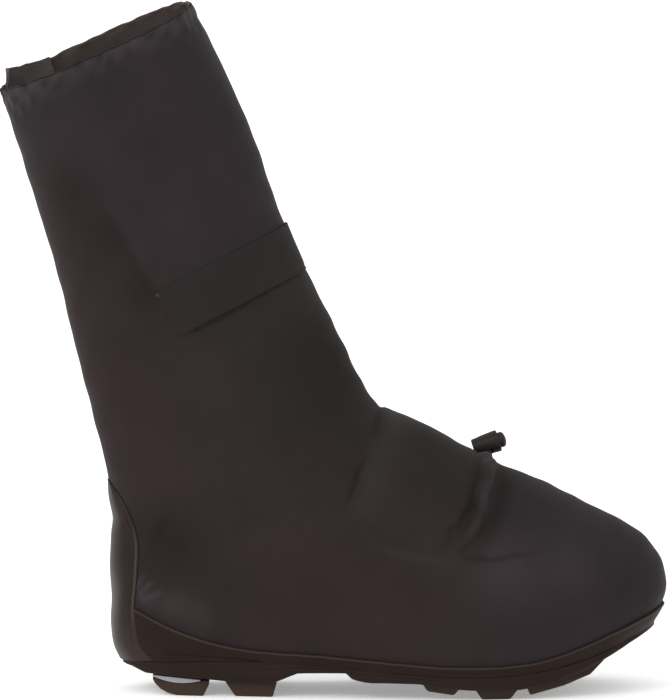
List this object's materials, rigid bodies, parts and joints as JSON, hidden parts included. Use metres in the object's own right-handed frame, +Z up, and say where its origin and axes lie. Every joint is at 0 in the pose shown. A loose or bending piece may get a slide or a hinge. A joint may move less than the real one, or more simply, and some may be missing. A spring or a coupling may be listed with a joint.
{
  "type": "overshoe",
  "caption": "Tall coated-fabric overshoe with a lugged rubber sole, rand, heel counter, ankle strap and instep cord with a press lock; open at the collar to slip over a shoe and ankle.",
  "frame": {"origin": "on the floor, under the middle of the whole box", "axes": "+X to the toe, +Y to the inner side of the foot, +Z up"},
  "size_m": [0.356, 0.1044, 0.3663],
  "materials": {
    "coated_fabric": "matte",
    "moulded_rubber": "matte",
    "pale_foam": "matte",
    "rubberised_band": "satin",
    "glossy_fabric": "satin",
    "strap_fabric": "matte",
    "acetal": "satin",
    "elastic_cord": "matte"
  },
  "bodies": {
    "overshoe": {"upper": "coated_fabric", "outsole": "moulded_rubber", "heel_wedge": "pale_foam", "heel_lug": "moulded_rubber", "rand": "rubberised_band", "heel_counter": "glossy_fabric", "ankle_strap": "strap_fabric", "cord_casing": "coated_fabric", "collar_tab": "strap_fabric", "cord_lock_barrel": "acetal", "instep_cord": "elastic_cord"},
    "plunger": {"cord_lock_plunger": "acetal"}
  },
  "joints": [
    {"name": "cord_lock_press", "type": "slide", "parent": "overshoe", "child": "plunger", "axis": [-0.9511, 0, -0.309], "range_m": [0, 0.0025], "stiffness_N_per_m": 400}
  ]
}
